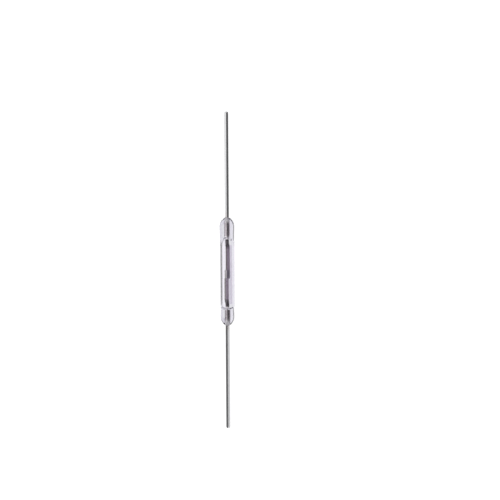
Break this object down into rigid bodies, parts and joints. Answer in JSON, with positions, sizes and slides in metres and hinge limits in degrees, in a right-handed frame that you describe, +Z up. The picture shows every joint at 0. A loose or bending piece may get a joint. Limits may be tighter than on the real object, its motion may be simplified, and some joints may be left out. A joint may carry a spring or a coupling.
{
  "type": "glass reed switch",
  "caption": "Magnetic reed switch: two flat nickel-iron reeds overlap with a small gap in a sealed clear glass tube, with a round tinned lead at each end.",
  "frame": {"origin": "on the tube's axis, halfway along the glass", "axes": "+X along the switch towards the upper lead, +Z up as the switch lies; the blades' faces are turned 60 degrees about X from lying flat"},
  "size_m": [0.0418, 0.002, 0.002],
  "materials": {
    "glass": "clear polished glass",
    "tinned_wire": "bright tin over nickel-iron wire",
    "reed_metal": "satin nickel-iron, plated at the tip"
  },
  "bodies": {
    "envelope": {"glass_envelope": "glass", "upper_lead": "tinned_wire", "lower_lead": "tinned_wire"},
    "upper_blade": {"upper_blade": "reed_metal"},
    "lower_blade": {"lower_blade": "reed_metal"}
  },
  "joints": [
    {"name": "upper_blade_flex", "type": "hinge", "parent": "envelope", "child": "upper_blade", "pos_m": [0.00315, -0.00009, 0.00005], "axis": [0, -0.5, -0.866], "range_deg": [0, 0.33], "stiffness_Nm_per_rad": 0.09},
    {"name": "lower_blade_flex", "type": "hinge", "parent": "envelope", "child": "lower_blade", "pos_m": [-0.0037, 0.00009, -0.00005], "axis": [0, -0.5, -0.866], "range_deg": [0, 0.33]}
  ],
  "couplings": [
    {"joint": "lower_blade_flex", "follows": "upper_blade_flex", "ratio": 1}
  ]
}
